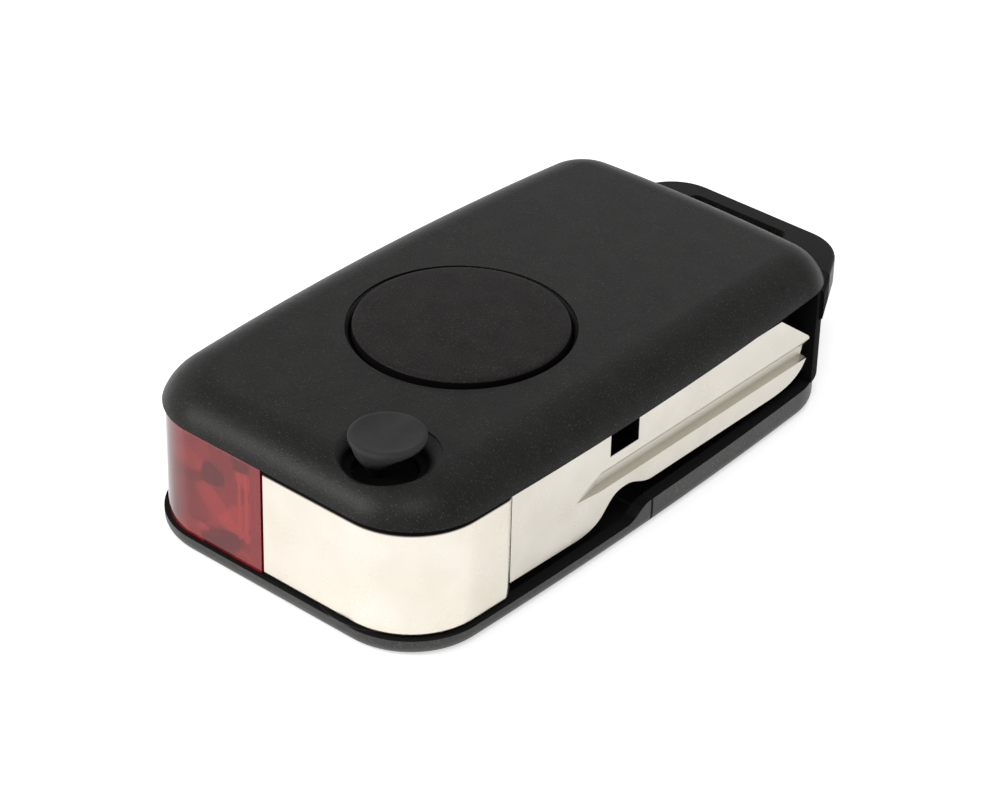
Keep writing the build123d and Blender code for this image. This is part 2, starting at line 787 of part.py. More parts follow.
def circuit_board():
    board = slab(board_outline(board_gap), board_low, board_high)
    for x, y in screw_places():
        board -= disc(x, y, screw_boss_radius + post_gap, 0, cover_top)
    return board


def button_switch():
    # low push switch with a metal lid and a round knob
    half = switch_size / 2
    body = block((-half, half), (-half, half), (board_high, board_high + switch_high - 0.3))
    body = chamfer(body.edges().filter_by(Axis.Z), 0.5)
    lid = block((-half + 0.3, half - 0.3), (-half + 0.3, half - 0.3),
                (board_high, board_high + switch_high))
    knob = disc(0, 0, 1.6, board_high, board_high + switch_high + switch_knob - 1)
    knob = chamfer(knob.edges().group_by(Axis.Z)[-1], 0.2)
    feet = Part()
    for side in (-1, 1):
        for end in (-1, 1):
            feet += block((side * 2.25 - 0.35, side * 2.25 + 0.35),
                          sorted((end * half, end * (half + 1.2))), (board_high, board_high + 0.3))
    return Pos(button_x, button_y, 0) * (body + lid + knob + feet)


def button_mat():
    # rubber sheet on the board with a hollow dome over the switch
    top = ceiling_high - joint_gap - button_flange - joint_gap
    sheet = slab(Pos(button_x, button_y) * Circle(sheet_radius), board_high, board_high + sheet_wall)
    sheet &= slab(board_outline(board_gap + 0.3), 0, cover_top)
    for x, y in screw_places():
        sheet -= disc(x, y, screw_boss_radius + post_gap, 0, cover_top)
    neck = dome_radius - 1.2
    dome = turned(button_x, button_y, [
        (0, board_high), (dome_radius + 1, board_high), (dome_radius + 1, board_high + sheet_wall),
        (dome_radius, board_high + sheet_wall), (neck, top - 0.5), (neck - 0.5, top), (0, top)])
    room_high = board_high + switch_high + switch_knob - 1 + 0.15
    room = turned(button_x, button_y, [
        (0, 0), (dome_radius - dome_wall, 0), (dome_radius - dome_wall, board_high + 1),
        (switch_size / 2, room_high), (0, room_high)])
    pocket = switch_size / 2 + 1.35
    cut = Pos(button_x, button_y, board_high) * Box(2 * pocket, 2 * pocket, 1)
    return sheet + dome - room - cut


def controller_chip():
    # flat chip with legs along two sides
    x, y = cell_x - chip_shift, from_front(chips_from_front)
    body = block((-2.5, 2.5), (-4, 4), (board_high + 0.1, board_high + 1.7))
    body = chamfer(body.faces().sort_by(Axis.Z)[-1].edges(), 0.25)
    body -= disc(-1.6, 3.2, 0.4, board_high + 1.55, board_high + 3)
    for row in range(7):
        for side in (-1, 1):
            leg_y = -3.3 + row * 1.1
            reach = sorted((side * 2.3, side * 3.3))
            body += block(reach, (leg_y - 0.2, leg_y + 0.2), (board_high, board_high + 0.35))
    return Pos(x, y, 0) * body


def clock_crystal():
    # small metal can with rounded ends
    can = slab(SlotOverall(8, 3.2), board_high, board_high + 2.2)
    can += slab(SlotOverall(8.8, 4), board_high, board_high + 0.4)
    can = fillet(can.faces().sort_by(Axis.Z)[-1].edges(), 0.4)
    return Pos(cell_x + crystal_shift, from_front(chips_from_front), 0) * Rot(0, 0, 90) * can


def buffer_capacitor():
    can = disc(0, 0, 2, board_high + 0.6, board_high + 3.4)
    can = fillet(can.edges().group_by(Axis.Z)[-1], 0.3)
    base = block((-2.1, 2.1), (-2.1, 2.1), (board_high, board_high + 0.6))
    base = chamfer(base.edges().filter_by(Axis.Z).sort_by(Axis.X)[:2], 0.8)
    return Pos(cell_x + capacitor_shift, rear_y - capacitor_from_rear, 0) * (can + base)


def coin_cell(low):
    # steel can with a rolled edge, and the smaller cap of the other pole on top
    high = low + cell_height
    return turned(cell_x, cell_y, [
        (0, low), (cell_radius - 0.4, low), (cell_radius - 0.1, low + 0.1), (cell_radius, low + 0.4),
        (cell_radius, high - 0.6), (cell_radius - 0.2, high - 0.35), (cell_radius - 0.9, high - 0.25),
        (cell_radius - 1.2, high - 0.3), (cell_radius - 1.4, high), (0, high)])


def strip(points, width):
    # bent sheet strip: its middle line given as forward and upward pairs
    with BuildSketch(Plane.YZ) as sketch:
        with BuildLine():
            Polyline(*points)
        trace(line_width=contact_wall)
    return extrude(sketch.sketch, amount=width / 2, both=True)


def upper_contact():
    # spring leaf under the deck that presses on the upper cell, with a narrow tail
    # that rises through the deck to the board
    tail_y = cell_y + contact_tail
    top = deck_low - joint_gap - contact_wall / 2
    touch = cell_stack_high + joint_gap + contact_wall / 2
    leaf = strip([(tail_y, board_low), (tail_y, top), (cell_y + 2, top), (cell_y - 3, touch),
                  (cell_y - 4.5, touch + 0.25)], contact_width)
    sides = block((-contact_width, contact_width), (tail_y - 1, tail_y + 1),
                  (deck_low - joint_gap, board_low + 1))
    sides -= block((-contact_tail_width / 2, contact_tail_width / 2), (tail_y - 2, tail_y + 2),
                   (0, cover_top))
    return Pos(cell_x, 0, 0) * (leaf - sides)


def side_contact():
    # upright spring that touches the rims of both cells, with a tail to the board
    near = -cell_radius - joint_gap - contact_wall / 2
    leaf = strip([(near - 0.5, cell_low + 0.3), (near, cell_low + 1.2), (near, cell_stack_high - 1),
                  (near - 0.4, deck_low), (near - 0.4, board_low)], contact_width)
    return Pos(cell_x, cell_y, 0) * Rot(0, 0, -90) * leaf


def case_screw(x, y):
    # self tapping screw that enters from below
    head_high_z = screw_head_low + screw_head
    top = head_high_z + screw_length
    screw = turned(x, y, [
        (0, screw_head_low), (screw_head_radius - 0.3, screw_head_low),
        (screw_head_radius, screw_head_low + 0.3), (screw_head_radius, head_high_z),
        (screw_radius, head_high_z), (screw_radius, top - 0.8), (0.3, top), (0, top)])
    cross = Box(1.8, 0.45, 1) + Box(0.45, 1.8, 1)
    return screw - Pos(x, y, screw_head_low) * cross


def case_screws():
    return Compound([case_screw(x, y) for x, y in screw_places()])


nodes = {
    "upper_cover": upper_cover(),
    "front_cover": front_cover(),
    "battery_cover": battery_cover(),
    "middle_frame": middle_frame(),
    "infrared_window": infrared_window(),
    "flip_head": flip_head(),
    "key_blade": key_blade(),
    "blade_pin": blade_pin(),
    "release_button": release_button(),
    "spring_cap": spring_cap(),
    "flip_spring": flip_spring(),
    "main_button": main_button(),
    "button_mat": button_mat(),
    "circuit_board": circuit_board(),
    "button_switch": button_switch(),
    "controller_chip": controller_chip(),
    "clock_crystal": clock_crystal(),
    "buffer_capacitor": buffer_capacitor(),
    "lower_cell": coin_cell(cell_low),
    "upper_cell": coin_cell(cell_low + cell_height),
    "upper_contact": upper_contact(),
    "side_contact": side_contact(),
    "case_screws": case_screws(),
}
for number, x in enumerate(diode_places()):
    nodes[f"infrared_diode_{number + 1}"] = infrared_diode(x)

os.makedirs("parts", exist_ok=True)
for name, solid in nodes.items():
    export_step(solid, f"parts/{name}.step")
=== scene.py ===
import json
import math
import bpy
import bmesh
from mathutils import Vector, Matrix


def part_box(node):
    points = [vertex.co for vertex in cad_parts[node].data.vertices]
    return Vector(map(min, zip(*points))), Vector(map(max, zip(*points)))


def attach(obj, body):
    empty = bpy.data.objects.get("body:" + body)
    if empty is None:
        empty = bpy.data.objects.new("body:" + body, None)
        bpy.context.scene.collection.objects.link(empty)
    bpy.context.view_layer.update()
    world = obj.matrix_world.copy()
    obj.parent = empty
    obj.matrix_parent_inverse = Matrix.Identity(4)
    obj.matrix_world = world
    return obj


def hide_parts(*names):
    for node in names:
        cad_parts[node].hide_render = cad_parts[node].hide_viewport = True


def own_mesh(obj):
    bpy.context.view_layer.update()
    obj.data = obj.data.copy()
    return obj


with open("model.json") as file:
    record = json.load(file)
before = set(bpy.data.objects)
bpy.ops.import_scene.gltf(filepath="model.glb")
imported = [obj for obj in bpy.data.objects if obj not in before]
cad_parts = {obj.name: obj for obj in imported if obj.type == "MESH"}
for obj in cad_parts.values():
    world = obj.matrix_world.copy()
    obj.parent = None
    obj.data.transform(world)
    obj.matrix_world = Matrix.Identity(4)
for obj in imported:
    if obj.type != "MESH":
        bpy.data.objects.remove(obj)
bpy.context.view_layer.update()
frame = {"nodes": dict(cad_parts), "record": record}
nodes = frame["nodes"]

# camera fitted to the photo: degrees and metres, and millimetres for the lens and its sensor
cameraView = {"azimuth": 40.205, "elevation": 32.868, "roll": 1.517, "distance": 0.29929,
              "target": (0.0, -0.002605, 0.00662), "shiftRight": 0.000254, "shiftUp": -0.000344,
              "lens": 118.69, "sensor": 36.0, "clipStart": 0.01}


def placeCamera():
    look = cameraView
    turn, tilt, roll = (math.radians(look[angle]) for angle in ("azimuth", "elevation", "roll"))
    flat = math.cos(tilt)
    back = Vector((math.sin(turn) * flat, -math.cos(turn) * flat, math.sin(tilt)))
    level = Vector((math.cos(turn), math.sin(turn), 0.0))
    upward = back.cross(level)
    right = level * math.cos(roll) + upward * math.sin(roll)
    up = upward * math.cos(roll) - level * math.sin(roll)
    place = Vector(look["target"]) + back * look["distance"]
    place += right * look["shiftRight"] + up * look["shiftUp"]
    data = bpy.data.cameras.new("camera")
    data.lens = look["lens"]
    data.sensor_width = look["sensor"]
    data.clip_start = look["clipStart"]
    camera = bpy.data.objects.new("camera", data)
    bpy.context.scene.collection.objects.link(camera)
    axes = Matrix((right, up, back)).transposed().to_4x4()
    camera.matrix_world = Matrix.Translation(place) @ axes
    bpy.context.scene.camera = camera


placeCamera()
bpy.context.scene.view_settings.view_transform = "Standard"
print("camera placed")


def grey(value):
    return (value, value, value, 1.0)


def newMaterial(name, sockets):
    material = bpy.data.materials.new(name)
    material.use_nodes = True
    shader = material.node_tree.nodes["Principled BSDF"]
    for socket, value in sockets.items():
        shader.inputs[socket].default_value = value
    return material


def newObject(name, shape):
    # the finished bmesh becomes an object of the scene
    mesh = bpy.data.meshes.new(name)
    shape.to_mesh(mesh)
    shape.free()
    made = bpy.data.objects.new(name, mesh)
    bpy.context.scene.collection.objects.link(made)
    return made


def addMath(tree, operation, first, second):
    # first and second are sockets or plain numbers
    step = tree.nodes.new("ShaderNodeMath")
    step.operation = operation
    for slot, value in enumerate((first, second)):
        if isinstance(value, (int, float)):
            step.inputs[slot].default_value = value
        else:
            tree.links.new(value, step.inputs[slot])
    return step.outputs[0]


# studio: pale floor, white surroundings and four soft lamps, in metres and watts
studio = {"floorSize": 1.2, "floorDrop": 0.00002, "floorColour": grey(0.93),
          "floorRoughness": 0.6, "floorSpecular": 0.2, "floorGlow": 0.59,
          "worldLight": 0.36, "worldTint": (0.97, 0.98, 1.0, 1.0),
          "worldSeen": 1.0, "worldMirrored": 0.5, "aim": (0.0, 0.0, 0.01)}
lamps = {"overhead": {"place": (-0.05, 0.15, 0.45), "size": 0.30, "power": 0.05},
         "brow": {"place": (0.17, -0.21, 0.46), "size": 0.12, "power": 0.60},
         "frontLeft": {"place": (-0.25, -0.40, 0.30), "size": 0.20, "power": 1.45},
         "right": {"place": (0.45, -0.05, 0.20), "size": 0.25, "power": 0.05}}


def addWorld():
    # seen straight it is white, seen in metal it is half of that, and as a light it is weaker
    world = bpy.data.worlds.new("studio")
    bpy.context.scene.world = world
    world.use_nodes = True
    tree = world.node_tree
    tree.nodes.clear()
    output = tree.nodes.new("ShaderNodeOutputWorld")
    seen = tree.nodes.new("ShaderNodeBackground")
    light = tree.nodes.new("ShaderNodeBackground")
    mixer = tree.nodes.new("ShaderNodeMixShader")
    rays = tree.nodes.new("ShaderNodeLightPath").outputs
    seen.inputs["Color"].default_value = grey(1.0)
    seen.inputs["Strength"].default_value = studio["worldSeen"]
    light.inputs["Color"].default_value = studio["worldTint"]
    light.inputs["Strength"].default_value = studio["worldLight"]
    direct = addMath(tree, "MAXIMUM", rays["Is Camera Ray"], rays["Is Transmission Ray"])
    mirrored = addMath(tree, "MULTIPLY", rays["Is Glossy Ray"], studio["worldMirrored"])
    tree.links.new(addMath(tree, "MAXIMUM", direct, mirrored), mixer.inputs[0])
    tree.links.new(light.outputs[0], mixer.inputs[1])
    tree.links.new(seen.outputs[0], mixer.inputs[2])
    tree.links.new(mixer.outputs[0], output.inputs["Surface"])


def addLamps():
    for name, lamp in lamps.items():
        data = bpy.data.lights.new(name, "AREA")
        data.shape = "DISK"
        data.size = lamp["size"]
        data.energy = lamp["power"]
        lampObject = bpy.data.objects.new(name, data)
        bpy.context.scene.collection.objects.link(lampObject)
        place = Vector(lamp["place"])
        aim = (Vector(studio["aim"]) - place).to_track_quat("-Z", "Y")
        lampObject.matrix_world = Matrix.Translation(place) @ aim.to_matrix().to_4x4()


def addFloor():
    # a little light of its own keeps the floor near the photo's white
    shape = bmesh.new()
    bmesh.ops.create_grid(shape, x_segments=2, y_segments=2, size=studio["floorSize"],
                          matrix=Matrix.Translation((0.0, 0.0, -studio["floorDrop"])))
    floor = newObject("floor", shape)
    material = newMaterial("paleFloor", {"Base Color": studio["floorColour"],
                                         "Roughness": studio["floorRoughness"],
                                         "Specular IOR Level": studio["floorSpecular"]})
    tree = material.node_tree
    glow = tree.nodes.new("ShaderNodeEmission")
    adder = tree.nodes.new("ShaderNodeAddShader")
    glow.inputs["Strength"].default_value = studio["floorGlow"]
    tree.links.new(tree.nodes["Principled BSDF"].outputs[0], adder.inputs[0])
    tree.links.new(glow.outputs[0], adder.inputs[1])
    tree.links.new(adder.outputs[0], tree.nodes["Material Output"].inputs["Surface"])
    floor.data.materials.append(material)


addWorld()
addLamps()
addFloor()
print("studio lit")

mixSockets = {"RGBA": (6, 7, 2), "FLOAT": (2, 3, 0)}  # of a Mix node: two inputs, one output


def addNoise(tree, scale, detail):
    # noise on the object's own coordinates
    place = tree.nodes.new("ShaderNodeTexCoord")
    noise = tree.nodes.new("ShaderNodeTexNoise")
    noise.inputs["Scale"].default_value = scale
    noise.inputs["Detail"].default_value = detail
    tree.links.new(place.outputs["Object"], noise.inputs["Vector"])
    return noise.outputs


def addRamp(tree, value, stops):
    # stops are places from nothing to one with their colours, in order
    ramp = tree.nodes.new("ShaderNodeValToRGB")
    marks = ramp.color_ramp.elements
    for mark, (place, colour) in zip(marks, (stops[0], stops[-1])):
        mark.position = place
        mark.color = colour
    for place, colour in stops[1:-1]:
        marks.new(place).color = colour
    tree.links.new(value, ramp.inputs["Fac"])
    return ramp.outputs["Color"]


def addGrain(material, scale, depth, detail):
    # fine relief
    tree = material.node_tree
    bump = tree.nodes.new("ShaderNodeBump")
    bump.inputs["Strength"].default_value = 1.0
    bump.inputs["Distance"].default_value = depth
    tree.links.new(addNoise(tree, scale, detail)["Fac"], bump.inputs["Height"])
    tree.links.new(bump.outputs["Normal"], tree.nodes["Principled BSDF"].inputs["Normal"])


def addMottle(material, socket, scale, low, high, detail=3.0, spread=(0.3, 0.7)):
    # slow change of a colour or roughness over the surface
    tree = material.node_tree
    tone = addRamp(tree, addNoise(tree, scale, detail)["Fac"],
                   [(spread[0], low), (spread[1], high)])
    tree.links.new(tone, tree.nodes["Principled BSDF"].inputs[socket])


def mixInto(material, socket, factor, value):
    # what already feeds the socket gives way to the value where the factor is one
    tree = material.node_tree
    target = tree.nodes["Principled BSDF"].inputs[socket]
    mixer = tree.nodes.new("ShaderNodeMix")
    mixer.data_type = "RGBA" if target.type == "RGBA" else "FLOAT"
    before, after, result = mixSockets[mixer.data_type]
    if target.is_linked:
        tree.links.new(target.links[0].from_socket, mixer.inputs[before])
    else:
        mixer.inputs[before].default_value = target.default_value
    mixer.inputs[after].default_value = value
    tree.links.new(factor, mixer.inputs["Factor"])
    tree.links.new(mixer.outputs[result], target)


def paint(material, factor, look):
    mixInto(material, "Base Color", factor, look["colour"])
    mixInto(material, "Roughness", factor, look["roughness"])


def readAxes(tree, source="Object"):
    # the parts along X, Y and Z of the object's own place, or of the surface's direction
    place = tree.nodes.new("ShaderNodeTexCoord")
    axes = tree.nodes.new("ShaderNodeSeparateXYZ")
    tree.links.new(place.outputs[source], axes.inputs[0])
    return axes.outputs


def addStep(tree, value, low, high):
    # climbs from nothing to one while the value goes from low to high
    step = tree.nodes.new("ShaderNodeMapRange")
    step.inputs["From Min"].default_value = low
    step.inputs["From Max"].default_value = high
    tree.links.new(value, step.inputs["Value"])
    return step.outputs["Result"]


def insideAll(tree, gaps, soft):
    # one where every gap is open, nothing elsewhere, softened at the edge
    inside = 1.0
    for gap in gaps:
        inside = addMath(tree, "MULTIPLY", addStep(tree, gap, -soft, soft), inside)
    return inside


def insideBox(tree, limits, soft=0.0001):
    axes = readAxes(tree)
    gaps = []
    for axis, (low, high) in limits.items():
        if low is not None:
            gaps.append(addMath(tree, "SUBTRACT", axes[axis], low))
        if high is not None:
            gaps.append(addMath(tree, "SUBTRACT", high, axes[axis]))
    return insideAll(tree, gaps, soft)


def insideRound(tree, centre, radius, high, soft=0.00015):
    # within the radius of an upright axis and below the height
    axes = readAxes(tree)
    squares = [addMath(tree, "POWER", addMath(tree, "SUBTRACT", axes[axis], middle), 2.0)
               for axis, middle in zip("XY", centre)]
    distance = addMath(tree, "SQRT", addMath(tree, "ADD", *squares), 0.0)
    gaps = [addMath(tree, "SUBTRACT", radius, distance),
            addMath(tree, "SUBTRACT", high, axes["Z"])]
    return insideAll(tree, gaps, soft)


# finishes: colours are linear, scales are per metre, and places, depths and soft edges are metres
mouldTexture = {"toneScale": 420.0, "toneDetail": 6.0, "toneSpread": (0.32, 0.68),
                "speckDetail": 1.0, "speckEdge": 0.05, "grainDetail": 3.0}
caseFinish = {"dark": (0.0078, 0.0075, 0.0070, 1), "light": (0.0128, 0.0123, 0.0114, 1),
              "roughness": 0.40, "specular": 0.18, "grainScale": 6800.0, "grainDepth": 0.000026,
              "speckScale": 6800.0, "speckFrom": 0.64, "speckColour": (0.042, 0.0405, 0.037, 1)}
paintedShadeBlack = {"colour": (0.0008, 0.0008, 0.0008, 1), "roughness": 1.0}  # painted shade: near black and fully rough, for hollows and gaps where shade falls


def makePlastic(name, look):
    # eroded mould texture: fine relief, a slow change of tone and scattered bright specks
    plastic = newMaterial(name, {"Roughness": look["roughness"],
                                 "Specular IOR Level": look["specular"]})
    addMottle(plastic, "Base Color", mouldTexture["toneScale"], look["dark"], look["light"],
              mouldTexture["toneDetail"], mouldTexture["toneSpread"])
    tree = plastic.node_tree
    specks = addRamp(tree, addNoise(tree, look["speckScale"], mouldTexture["speckDetail"])["Fac"],
                     [(look["speckFrom"], grey(0.0)),
                      (look["speckFrom"] + mouldTexture["speckEdge"], grey(1.0))])
    mixInto(plastic, "Base Color", specks, look["speckColour"])
    addGrain(plastic, look["grainScale"], look["grainDepth"], mouldTexture["grainDetail"])
    return plastic


# painted shade: the upper cover is painted near black inside, in the well's hole and round the
# button's opening
coverPaintedShade = {"inside": {"X": (0.0100, 0.0153), "Y": (-0.020, 0.0195), "Z": (None, 0.01475)},
              "wellHole": {"centre": (0.0083, -0.026575), "radius": 0.00385, "high": 0.0157},
              "opening": {"centre": (-0.0002, -0.007475), "radius": 0.0103, "high": 0.0158}}


def makeCoverPlastic():
    plastic = makePlastic("coverBlackPlastic", caseFinish)
    tree = plastic.node_tree
    paint(plastic, insideBox(tree, coverPaintedShade["inside"]), paintedShadeBlack)
    paint(plastic, insideRound(tree, **coverPaintedShade["wellHole"]), paintedShadeBlack)
    paint(plastic, insideRound(tree, **coverPaintedShade["opening"]), paintedShadeBlack)
    return plastic


# painted shade: the frame is painted near black in the blade channel and at its corner post; its
# lug is a little duller on top
frameShadeAndLugTop = {"channel": {"X": (0.0075, None), "Y": (-0.031, 0.0243), "Z": (0.0019, 0.01275)},
              "cornerPost": {"X": (0.0125, None), "Y": (0.020, 0.0272), "Z": (None, 0.01275)},
              "lugTop": {"Y": (0.0270, None), "Z": (0.0125, None)},
              "lugFinish": {"colour": (0.0090, 0.0088, 0.0083, 1), "roughness": 0.6}}


def makeFramePlastic():
    plastic = makePlastic("frameBlackPlastic", caseFinish)
    tree = plastic.node_tree
    paint(plastic, insideBox(tree, frameShadeAndLugTop["lugTop"]), frameShadeAndLugTop["lugFinish"])
    paint(plastic, insideBox(tree, frameShadeAndLugTop["channel"]), paintedShadeBlack)
    paint(plastic, insideBox(tree, frameShadeAndLugTop["cornerPost"]), paintedShadeBlack)
    return plastic


# painted shade: the two lower covers are painted near black where they look up, into the channel
# painted sheen: their plastic is lighter than the case's, standing in for the floor's reflection
# on the rim; grain, specks, roughness and specular are their own
baseFinishAndSheen = {"dark": (0.024, 0.0237, 0.0232, 1), "light": (0.036, 0.0355, 0.034, 1),
              "roughness": 0.42, "specular": 0.30, "grainScale": 5200.0, "grainDepth": 0.00003,
              "speckScale": 7800.0, "speckFrom": 0.62, "speckColour": (0.085, 0.083, 0.079, 1),
              "upwardFrom": 0.6, "upwardTo": 0.9}


def makeBasePlastic():
    plastic = makePlastic("baseBlackPlastic", baseFinishAndSheen)
    tree = plastic.node_tree
    upward = addStep(tree, readAxes(tree, "Normal")["Z"],
                     baseFinishAndSheen["upwardFrom"], baseFinishAndSheen["upwardTo"])
    paint(plastic, upward, paintedShadeBlack)
    return plastic


# the buttons are warmer than the case; painted shade makes them near black at their side wall and
# at their foot
buttonFinish = {"dark": (0.0125, 0.0108, 0.0103, 1), "light": (0.0190, 0.0171, 0.0163, 1),
                "roughness": 0.48, "specular": 0.10, "grainScale": 6500.0, "grainDepth": 0.00002,
                "speckScale": 6800.0, "speckFrom": 0.62, "speckColour": (0.040, 0.038, 0.037, 1)}
releaseFinish = dict(buttonFinish, speckFrom=0.70, dark=(0.032, 0.0314, 0.0314, 1),
                     light=(0.043, 0.0423, 0.0418, 1))
buttonPaintedShade = {"wall": {"limits": {"Z": (None, 0.01642)}, "soft": 0.00003},
               "foot": {"centre": (0.0083, -0.026575), "radius": 0.006, "high": 0.01495}}


def makeButtonPlastic():
    plastic = makePlastic("buttonBlackPlastic", buttonFinish)
    paint(plastic, insideBox(plastic.node_tree, **buttonPaintedShade["wall"]), paintedShadeBlack)
    return plastic


def makeReleasePlastic():
    plastic = makePlastic("releaseBlackPlastic", releaseFinish)
    paint(plastic, insideRound(plastic.node_tree, **buttonPaintedShade["foot"]), paintedShadeBlack)
    return plastic


plating = {"stainDetail": 5.0, "glossScale": 1.7, "glossDetail": 4.0, "grainDetail": 2.0}


def makeMetal(name, look):
    # plated metal with faint stains, uneven gloss and a very fine grain
    metal = newMaterial(name, {"Metallic": 1.0})
    addMottle(metal, "Base Color", look["stainScale"], look["stained"], look["clean"],
              plating["stainDetail"])
    addMottle(metal, "Roughness", look["stainScale"] * plating["glossScale"],
              grey(look["smooth"]), grey(look["rough"]), plating["glossDetail"])
    addGrain(metal, look["grainScale"], look["grainDepth"], plating["grainDetail"])
    return metal


# painted shadow of the cover: a dark brown line along the turning head's upper edge; it starts
# softly and ends sharply
headFinish = {"clean": (0.725, 0.688, 0.617, 1), "stained": (0.665, 0.618, 0.527, 1),
              "stainScale": 160.0, "smooth": 0.22, "rough": 0.34, "grainScale": 2600.0,
              "grainDepth": 0.000006}
headSeamShadow = {"from": {"limits": {"Z": (0.01219, None)}, "soft": 0.0001},
            "to": {"limits": {"Z": (None, 0.012585)}, "soft": 0.00003},
            "finish": {"colour": (0.022, 0.018, 0.016, 1), "roughness": 0.9}}


def makeHeadNickel():
    nickel = makeMetal("headSatinNickel", headFinish)
    tree = nickel.node_tree
    seamShadow = addMath(tree, "MULTIPLY", insideBox(tree, **headSeamShadow["from"]),
                   insideBox(tree, **headSeamShadow["to"]))
    paint(nickel, seamShadow, headSeamShadow["finish"])
    return nickel


# the blade is duller in its milled track, and painted shade makes the walls of its notch near
# black
bladeFinish = {"clean": (0.675, 0.642, 0.580, 1), "stained": (0.62, 0.582, 0.515, 1),
               "stainScale": 230.0, "smooth": 0.24, "rough": 0.38, "grainScale": 3000.0,
               "grainDepth": 0.000006}
bladeTrack = {"place": {"limits": {"X": (0.0141, 0.01635), "Y": (-0.0145, 0.0229),
                                   "Z": (0.0060, 0.0089)}, "soft": 0.00008},
              "finish": {"colour": (0.66, 0.63, 0.56, 1), "roughness": 0.5}}
bladeNotchShade = {"place": {"limits": {"X": (0.01378, 0.01644), "Y": (-0.00680, -0.00250),
                                   "Z": (0.00945, None)}, "soft": 0.00003},
              "finish": {"colour": (0.01, 0.0095, 0.009, 1), "roughness": 0.7}}


def makeBladeNickel():
    nickel = makeMetal("bladeNickel", bladeFinish)
    for part in (bladeTrack, bladeNotchShade):
        paint(nickel, insideBox(nickel.node_tree, **part["place"]), part["finish"])
    return nickel


windowFinish = {"dark": (0.22, 0.018, 0.022, 1), "middle": (0.48, 0.035, 0.040, 1),
                "bright": (0.66, 0.055, 0.050, 1), "tonesAt": (0.20, 0.50, 0.90),
                "through": 0.62, "roughness": 0.06, "ior": 1.45, "specular": 0.34,
                "facetScale": 480.0, "facetStretch": (0.8, 0.8, 1.05),
                "facetTurn": (0.0, 0.6, 0.3), "facetBlend": 0.30,
                "facetBend": 0.0011, "bendScale": 300.0, "bendDetail": 0.0,
                "plainEnd": {"X": (-0.00235, None)},
                # painted shade: darker towards the left corner
                "corner": {"limits": {"X": (None, -0.0107)}, "soft": 0.0025},
                "cornerShade": (0.17, 0.022, 0.026, 1),
                # painted highlights: two upright ribs and the upper edge
                "ribs": [{"X": (-0.00380, -0.00345), "Z": (0.0042, 0.0112)},
                         {"X": (-0.00298, -0.00258), "Z": (0.0042, 0.0112)}],
                "upperEdgeHighlight": {"Z": (0.01245, None)}, "highlightSoft": 0.00006}


def makeWindowRed():
    # clear red moulding: facets of its inner face show as patches; painted highlights lie on two
    # upright ribs and the upper edge, and painted shade darkens the left corner
    look = windowFinish
    window = newMaterial("windowRedPlastic", {
        "Transmission Weight": look["through"], "Roughness": look["roughness"],
        "IOR": look["ior"], "Specular IOR Level": look["specular"]})
    tree = window.node_tree
    place = tree.nodes.new("ShaderNodeTexCoord")
    bend = tree.nodes.new("ShaderNodeVectorMath")
    turn = tree.nodes.new("ShaderNodeMapping")
    facets = tree.nodes.new("ShaderNodeTexVoronoi")
    channels = tree.nodes.new("ShaderNodeSeparateColor")
    bend.operation = "MULTIPLY_ADD"
    bend.inputs[1].default_value = (look["facetBend"],) * 3
    turn.inputs["Scale"].default_value = look["facetStretch"]
    turn.inputs["Rotation"].default_value = look["facetTurn"]
    facets.feature = "SMOOTH_F1"
    facets.inputs["Scale"].default_value = look["facetScale"]
    facets.inputs["Smoothness"].default_value = look["facetBlend"]
    tree.links.new(addNoise(tree, look["bendScale"], look["bendDetail"])["Color"], bend.inputs[0])
    tree.links.new(place.outputs["Object"], bend.inputs[2])
    tree.links.new(bend.outputs["Vector"], turn.inputs["Vector"])
    tree.links.new(turn.outputs["Vector"], facets.inputs["Vector"])
    tree.links.new(facets.outputs["Color"], channels.inputs["Color"])
    tones = (look["dark"], look["middle"], look["bright"])
    patches = addRamp(tree, channels.outputs["Red"], list(zip(look["tonesAt"], tones)))
    tree.links.new(patches, tree.nodes["Principled BSDF"].inputs["Base Color"])
    mixInto(window, "Base Color", insideBox(tree, look["plainEnd"]), look["middle"])
    # painted shade towards the left corner
    mixInto(window, "Base Color", insideBox(tree, **look["corner"]), look["cornerShade"])
    # painted highlights on the two ribs and the upper edge
    for highlight in look["ribs"] + [look["upperEdgeHighlight"]]:
        mixInto(window, "Base Color", insideBox(tree, highlight, look["highlightSoft"]), look["bright"])
    return window


# pieces inside: the sockets that stay, then the one that varies, its scale and its two ends
insideFinishes = {
    "steel": {"name": "brightSteel",
              "sockets": {"Metallic": 1.0, "Base Color": (0.62, 0.62, 0.63, 1)},
              "varies": ("Roughness", 900.0, grey(0.22), grey(0.34))},
    "rubber": {"name": "siliconeMat", "sockets": {"Roughness": 0.7},
               "varies": ("Base Color", 2000.0, (0.22, 0.22, 0.23, 1), (0.28, 0.28, 0.29, 1))},
    "board": {"name": "boardGreen", "sockets": {"Roughness": 0.35},
              "varies": ("Base Color", 1500.0, (0.015, 0.14, 0.05, 1), (0.02, 0.18, 0.07, 1))},
    "chip": {"name": "chipBlack", "sockets": {"Roughness": 0.55},
             "varies": ("Base Color", 5000.0, grey(0.025), grey(0.04))},
    "aluminium": {"name": "canAluminium",
                  "sockets": {"Metallic": 1.0, "Base Color": (0.8, 0.8, 0.81, 1)},
                  "varies": ("Roughness", 900.0, grey(0.25), grey(0.4))},
    "contact": {"name": "contactStrip",
                "sockets": {"Metallic": 1.0, "Base Color": (0.72, 0.66, 0.50, 1)},
                "varies": ("Roughness", 900.0, grey(0.22), grey(0.35))},
    "diode": {"name": "diodeLens",
              "sockets": {"Transmission Weight": 0.8, "Roughness": 0.05,
                          "Base Color": (0.15, 0.10, 0.22, 1)}}}


